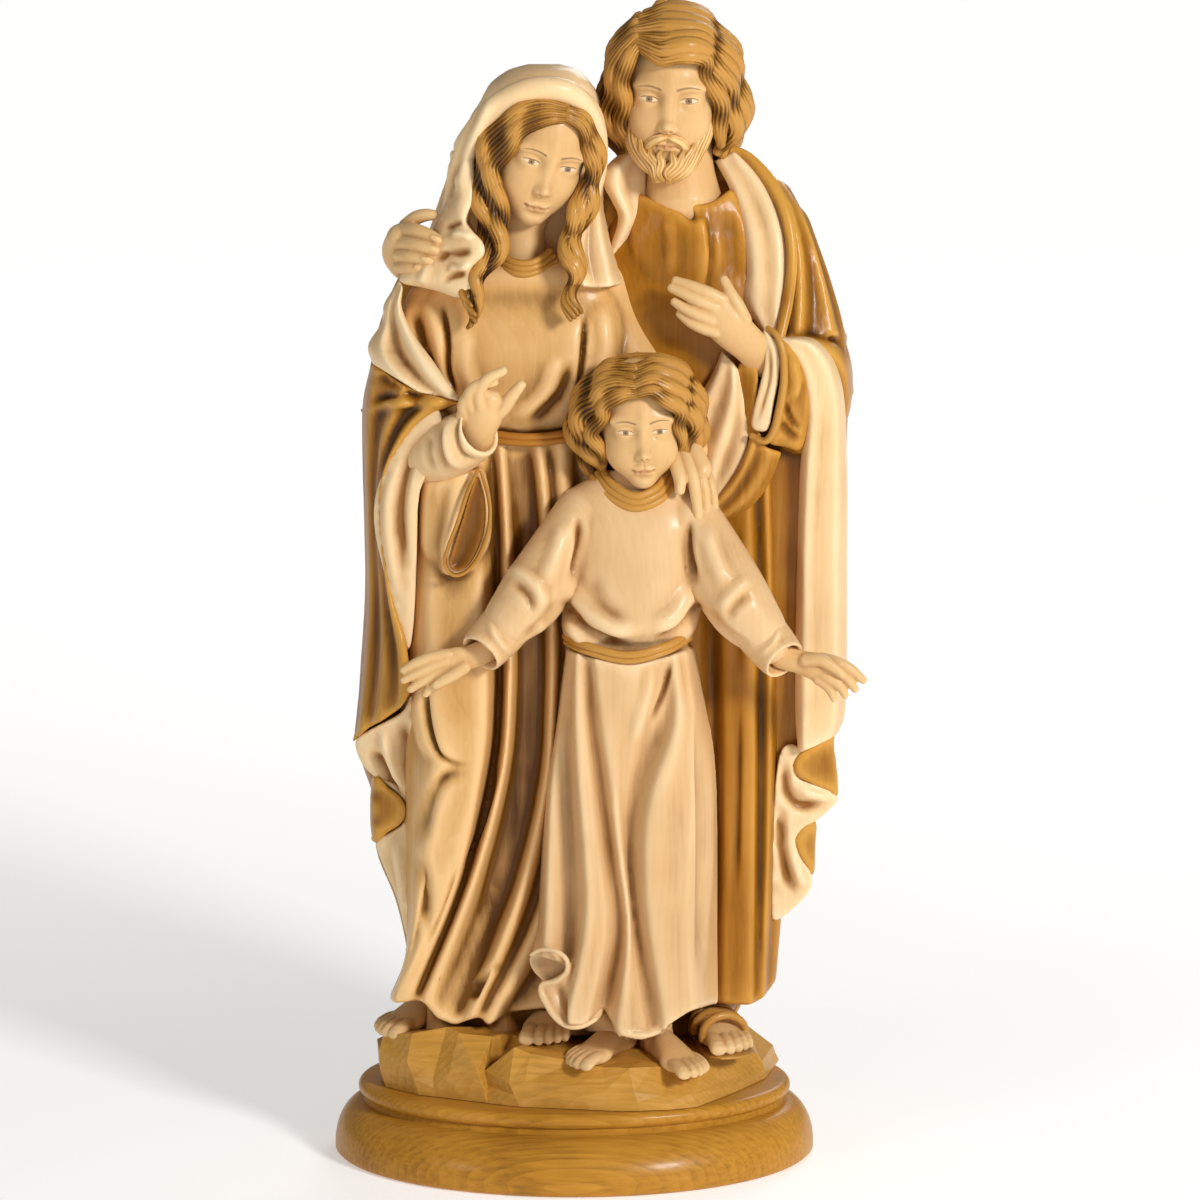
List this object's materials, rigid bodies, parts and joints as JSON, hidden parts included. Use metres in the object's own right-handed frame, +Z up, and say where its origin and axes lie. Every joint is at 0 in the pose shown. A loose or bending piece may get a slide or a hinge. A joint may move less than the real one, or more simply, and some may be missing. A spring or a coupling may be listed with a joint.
{
  "type": "holy family statue",
  "caption": "Carved wood holy family: mother and father side by side, the child standing in front with arms held out, on rocky ground over a turned oval plinth.",
  "frame": {"origin": "centre of the plinth's flat underside", "axes": "+Z up, -Y toward the viewer in front of the figures, +X to that viewer's right"},
  "size_m": [0.2732, 0.198, 0.6],
  "materials": {
    "carved_limewood": "stained carved limewood, satin wax",
    "plinth_wood": "golden brown stain, satin lacquer"
  },
  "bodies": {
    "root": {"figure_group": "carved_limewood", "plinth": "plinth_wood"}
  },
  "joints": []
}
